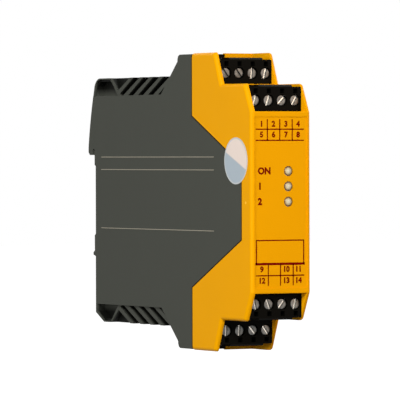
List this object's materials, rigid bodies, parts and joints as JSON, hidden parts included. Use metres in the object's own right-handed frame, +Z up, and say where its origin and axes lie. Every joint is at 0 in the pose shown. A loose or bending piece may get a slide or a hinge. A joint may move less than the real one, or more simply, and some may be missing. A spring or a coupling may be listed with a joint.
{
  "type": "safety relay",
  "caption": "Slim rail-mounted safety relay with a stepped front cover, plug-in screw terminals at both ends, indicator lenses, louvred base, rail hook and sprung foot latch",
  "frame": {"origin": "Middle of the rail seat, in the plane of the seat pads that the rail's front face rests on, at mid width and mid height of the rail", "axes": "X runs across the 22.5 mm width, to the right as seen from the front. Y runs back toward the rail, so the front faces -Y. Z runs up, with the fixed hook above and the foot latch below"},
  "size_m": [0.0226, 0.1147, 0.099],
  "materials": {
    "yellow_plastic": "fine satin",
    "dark_plastic": "fine satin",
    "black_plastic": "satin",
    "zinc_steel": "zinc plated",
    "spring_steel": "bright drawn",
    "tinned_brass": "tin plated",
    "board_green": "lacquered laminate",
    "relay_case": "smooth",
    "can_sleeve": "shrunk sleeve",
    "ferrite": "ground ferrite",
    "lens_clear": "frosted clear plastic",
    "lamp_body": "smooth"
  },
  "bodies": {
    "housing": {"base_housing": "dark_plastic", "front_cover": "yellow_plastic", "latch_spring": "spring_steel", "header_top_rear": "black_plastic", "pins_top_rear": "tinned_brass", "header_top_front": "black_plastic", "pins_top_front": "tinned_brass", "header_bottom_rear": "black_plastic", "pins_bottom_rear": "tinned_brass", "header_bottom_front": "black_plastic", "pins_bottom_front": "tinned_brass", "main_board": "board_green", "relay_1": "relay_case", "relay_2": "relay_case", "capacitors": "can_sleeve", "transformer": "ferrite", "light_guide": "lens_clear", "indicator_board": "board_green", "indicator_leds": "lamp_body"},
    "latch": {"foot_latch": "black_plastic"},
    "top_rear_plug": {"plug_top_rear": "black_plastic", "contacts_top_rear": "tinned_brass"},
    "top_rear_screw_1": {"screw_top_rear_1": "zinc_steel"},
    "top_rear_cage_1": {"cage_top_rear_1": "zinc_steel"},
    "top_rear_screw_2": {"screw_top_rear_2": "zinc_steel"},
    "top_rear_cage_2": {"cage_top_rear_2": "zinc_steel"},
    "top_rear_screw_3": {"screw_top_rear_3": "zinc_steel"},
    "top_rear_cage_3": {"cage_top_rear_3": "zinc_steel"},
    "top_rear_screw_4": {"screw_top_rear_4": "zinc_steel"},
    "top_rear_cage_4": {"cage_top_rear_4": "zinc_steel"},
    "top_front_plug": {"plug_top_front": "black_plastic", "contacts_top_front": "tinned_brass"},
    "top_front_screw_1": {"screw_top_front_1": "zinc_steel"},
    "top_front_cage_1": {"cage_top_front_1": "zinc_steel"},
    "top_front_screw_2": {"screw_top_front_2": "zinc_steel"},
    "top_front_cage_2": {"cage_top_front_2": "zinc_steel"},
    "top_front_screw_3": {"screw_top_front_3": "zinc_steel"},
    "top_front_cage_3": {"cage_top_front_3": "zinc_steel"},
    "top_front_screw_4": {"screw_top_front_4": "zinc_steel"},
    "top_front_cage_4": {"cage_top_front_4": "zinc_steel"},
    "bottom_front_plug": {"plug_bottom_front": "black_plastic", "contacts_bottom_front": "tinned_brass"},
    "bottom_front_screw_1": {"screw_bottom_front_1": "zinc_steel"},
    "bottom_front_cage_1": {"cage_bottom_front_1": "zinc_steel"},
    "bottom_front_screw_2": {"screw_bottom_front_2": "zinc_steel"},
    "bottom_front_cage_2": {"cage_bottom_front_2": "zinc_steel"},
    "bottom_front_screw_3": {"screw_bottom_front_3": "zinc_steel"},
    "bottom_front_cage_3": {"cage_bottom_front_3": "zinc_steel"},
    "bottom_front_screw_4": {"screw_bottom_front_4": "zinc_steel"},
    "bottom_front_cage_4": {"cage_bottom_front_4": "zinc_steel"},
    "bottom_rear_plug": {"plug_bottom_rear": "black_plastic", "contacts_bottom_rear": "tinned_brass"},
    "bottom_rear_screw_1": {"screw_bottom_rear_1": "zinc_steel"},
    "bottom_rear_cage_1": {"cage_bottom_rear_1": "zinc_steel"},
    "bottom_rear_screw_2": {"screw_bottom_rear_2": "zinc_steel"},
    "bottom_rear_cage_2": {"cage_bottom_rear_2": "zinc_steel"},
    "bottom_rear_screw_3": {"screw_bottom_rear_3": "zinc_steel"},
    "bottom_rear_cage_3": {"cage_bottom_rear_3": "zinc_steel"},
    "bottom_rear_screw_4": {"screw_bottom_rear_4": "zinc_steel"},
    "bottom_rear_cage_4": {"cage_bottom_rear_4": "zinc_steel"}
  },
  "joints": [
    {"name": "latch_slide", "type": "slide", "parent": "housing", "child": "latch", "axis": [0, 0, -1], "range_m": [0, 0.0035], "stiffness_N_per_m": 1500, "springref_m": -0.002, "deforming": ["latch_spring"]},
    {"name": "top_rear_plug_slide", "type": "slide", "parent": "housing", "child": "top_rear_plug", "axis": [0, -1, 0], "range_m": [0, 0.015]},
    {"name": "top_rear_screw_1_turn", "type": "hinge", "parent": "top_rear_plug", "child": "top_rear_screw_1", "pos_m": [-0.0075, -0.0852, 0.04265], "axis": [0, 1, 0], "range_deg": [0, 1440]},
    {"name": "top_rear_cage_1_slide", "type": "slide", "parent": "top_rear_plug", "child": "top_rear_cage_1", "axis": [0, -1, 0], "range_m": [0, 0.002]},
    {"name": "top_rear_screw_2_turn", "type": "hinge", "parent": "top_rear_plug", "child": "top_rear_screw_2", "pos_m": [-0.0025, -0.0852, 0.04265], "axis": [0, 1, 0], "range_deg": [0, 1440]},
    {"name": "top_rear_cage_2_slide", "type": "slide", "parent": "top_rear_plug", "child": "top_rear_cage_2", "axis": [0, -1, 0], "range_m": [0, 0.002]},
    {"name": "top_rear_screw_3_turn", "type": "hinge", "parent": "top_rear_plug", "child": "top_rear_screw_3", "pos_m": [0.0025, -0.0852, 0.04265], "axis": [0, 1, 0], "range_deg": [0, 1440]},
    {"name": "top_rear_cage_3_slide", "type": "slide", "parent": "top_rear_plug", "child": "top_rear_cage_3", "axis": [0, -1, 0], "range_m": [0, 0.002]},
    {"name": "top_rear_screw_4_turn", "type": "hinge", "parent": "top_rear_plug", "child": "top_rear_screw_4", "pos_m": [0.0075, -0.0852, 0.04265], "axis": [0, 1, 0], "range_deg": [0, 1440]},
    {"name": "top_rear_cage_4_slide", "type": "slide", "parent": "top_rear_plug", "child": "top_rear_cage_4", "axis": [0, -1, 0], "range_m": [0, 0.002]},
    {"name": "top_front_plug_slide", "type": "slide", "parent": "housing", "child": "top_front_plug", "axis": [0, -1, 0], "range_m": [0, 0.015]},
    {"name": "top_front_screw_1_turn", "type": "hinge", "parent": "top_front_plug", "child": "top_front_screw_1", "pos_m": [-0.0075, -0.1046, 0.0334], "axis": [0, 1, 0], "range_deg": [0, 1440]},
    {"name": "top_front_cage_1_slide", "type": "slide", "parent": "top_front_plug", "child": "top_front_cage_1", "axis": [0, -1, 0], "range_m": [0, 0.002]},
    {"name": "top_front_screw_2_turn", "type": "hinge", "parent": "top_front_plug", "child": "top_front_screw_2", "pos_m": [-0.0025, -0.1046, 0.0334], "axis": [0, 1, 0], "range_deg": [0, 1440]},
    {"name": "top_front_cage_2_slide", "type": "slide", "parent": "top_front_plug", "child": "top_front_cage_2", "axis": [0, -1, 0], "range_m": [0, 0.002]},
    {"name": "top_front_screw_3_turn", "type": "hinge", "parent": "top_front_plug", "child": "top_front_screw_3", "pos_m": [0.0025, -0.1046, 0.0334], "axis": [0, 1, 0], "range_deg": [0, 1440]},
    {"name": "top_front_cage_3_slide", "type": "slide", "parent": "top_front_plug", "child": "top_front_cage_3", "axis": [0, -1, 0], "range_m": [0, 0.002]},
    {"name": "top_front_screw_4_turn", "type": "hinge", "parent": "top_front_plug", "child": "top_front_screw_4", "pos_m": [0.0075, -0.1046, 0.0334], "axis": [0, 1, 0], "range_deg": [0, 1440]},
    {"name": "top_front_cage_4_slide", "type": "slide", "parent": "top_front_plug", "child": "top_front_cage_4", "axis": [0, -1, 0], "range_m": [0, 0.002]},
    {"name": "bottom_front_plug_slide", "type": "slide", "parent": "housing", "child": "bottom_front_plug", "axis": [0, -1, 0], "range_m": [0, 0.015]},
    {"name": "bottom_front_screw_1_turn", "type": "hinge", "parent": "bottom_front_plug", "child": "bottom_front_screw_1", "pos_m": [-0.0075, -0.1046, -0.0334], "axis": [0, 1, 0], "range_deg": [0, 1440]},
    {"name": "bottom_front_cage_1_slide", "type": "slide", "parent": "bottom_front_plug", "child": "bottom_front_cage_1", "axis": [0, -1, 0], "range_m": [0, 0.002]},
    {"name": "bottom_front_screw_2_turn", "type": "hinge", "parent": "bottom_front_plug", "child": "bottom_front_screw_2", "pos_m": [-0.0025, -0.1046, -0.0334], "axis": [0, 1, 0], "range_deg": [0, 1440]},
    {"name": "bottom_front_cage_2_slide", "type": "slide", "parent": "bottom_front_plug", "child": "bottom_front_cage_2", "axis": [0, -1, 0], "range_m": [0, 0.002]},
    {"name": "bottom_front_screw_3_turn", "type": "hinge", "parent": "bottom_front_plug", "child": "bottom_front_screw_3", "pos_m": [0.0025, -0.1046, -0.0334], "axis": [0, 1, 0], "range_deg": [0, 1440]},
    {"name": "bottom_front_cage_3_slide", "type": "slide", "parent": "bottom_front_plug", "child": "bottom_front_cage_3", "axis": [0, -1, 0], "range_m": [0, 0.002]},
    {"name": "bottom_front_screw_4_turn", "type": "hinge", "parent": "bottom_front_plug", "child": "bottom_front_screw_4", "pos_m": [0.0075, -0.1046, -0.0334], "axis": [0, 1, 0], "range_deg": [0, 1440]},
    {"name": "bottom_front_cage_4_slide", "type": "slide", "parent": "bottom_front_plug", "child": "bottom_front_cage_4", "axis": [0, -1, 0], "range_m": [0, 0.002]},
    {"name": "bottom_rear_plug_slide", "type": "slide", "parent": "housing", "child": "bottom_rear_plug", "axis": [0, -1, 0], "range_m": [0, 0.015]},
    {"name": "bottom_rear_screw_1_turn", "type": "hinge", "parent": "bottom_rear_plug", "child": "bottom_rear_screw_1", "pos_m": [-0.0075, -0.0852, -0.04265], "axis": [0, 1, 0], "range_deg": [0, 1440]},
    {"name": "bottom_rear_cage_1_slide", "type": "slide", "parent": "bottom_rear_plug", "child": "bottom_rear_cage_1", "axis": [0, -1, 0], "range_m": [0, 0.002]},
    {"name": "bottom_rear_screw_2_turn", "type": "hinge", "parent": "bottom_rear_plug", "child": "bottom_rear_screw_2", "pos_m": [-0.0025, -0.0852, -0.04265], "axis": [0, 1, 0], "range_deg": [0, 1440]},
    {"name": "bottom_rear_cage_2_slide", "type": "slide", "parent": "bottom_rear_plug", "child": "bottom_rear_cage_2", "axis": [0, -1, 0], "range_m": [0, 0.002]},
    {"name": "bottom_rear_screw_3_turn", "type": "hinge", "parent": "bottom_rear_plug", "child": "bottom_rear_screw_3", "pos_m": [0.0025, -0.0852, -0.04265], "axis": [0, 1, 0], "range_deg": [0, 1440]},
    {"name": "bottom_rear_cage_3_slide", "type": "slide", "parent": "bottom_rear_plug", "child": "bottom_rear_cage_3", "axis": [0, -1, 0], "range_m": [0, 0.002]},
    {"name": "bottom_rear_screw_4_turn", "type": "hinge", "parent": "bottom_rear_plug", "child": "bottom_rear_screw_4", "pos_m": [0.0075, -0.0852, -0.04265], "axis": [0, 1, 0], "range_deg": [0, 1440]},
    {"name": "bottom_rear_cage_4_slide", "type": "slide", "parent": "bottom_rear_plug", "child": "bottom_rear_cage_4", "axis": [0, -1, 0], "range_m": [0, 0.002]}
  ],
  "couplings": [
    {"joint": "top_rear_screw_1_turn", "follows": "top_rear_cage_1_slide", "rad_per_m": 12566},
    {"joint": "top_rear_screw_2_turn", "follows": "top_rear_cage_2_slide", "rad_per_m": 12566},
    {"joint": "top_rear_screw_3_turn", "follows": "top_rear_cage_3_slide", "rad_per_m": 12566},
    {"joint": "top_rear_screw_4_turn", "follows": "top_rear_cage_4_slide", "rad_per_m": 12566},
    {"joint": "top_front_screw_1_turn", "follows": "top_front_cage_1_slide", "rad_per_m": 12566},
    {"joint": "top_front_screw_2_turn", "follows": "top_front_cage_2_slide", "rad_per_m": 12566},
    {"joint": "top_front_screw_3_turn", "follows": "top_front_cage_3_slide", "rad_per_m": 12566},
    {"joint": "top_front_screw_4_turn", "follows": "top_front_cage_4_slide", "rad_per_m": 12566},
    {"joint": "bottom_front_screw_1_turn", "follows": "bottom_front_cage_1_slide", "rad_per_m": 12566},
    {"joint": "bottom_front_screw_2_turn", "follows": "bottom_front_cage_2_slide", "rad_per_m": 12566},
    {"joint": "bottom_front_screw_3_turn", "follows": "bottom_front_cage_3_slide", "rad_per_m": 12566},
    {"joint": "bottom_front_screw_4_turn", "follows": "bottom_front_cage_4_slide", "rad_per_m": 12566},
    {"joint": "bottom_rear_screw_1_turn", "follows": "bottom_rear_cage_1_slide", "rad_per_m": 12566},
    {"joint": "bottom_rear_screw_2_turn", "follows": "bottom_rear_cage_2_slide", "rad_per_m": 12566},
    {"joint": "bottom_rear_screw_3_turn", "follows": "bottom_rear_cage_3_slide", "rad_per_m": 12566},
    {"joint": "bottom_rear_screw_4_turn", "follows": "bottom_rear_cage_4_slide", "rad_per_m": 12566}
  ]
}
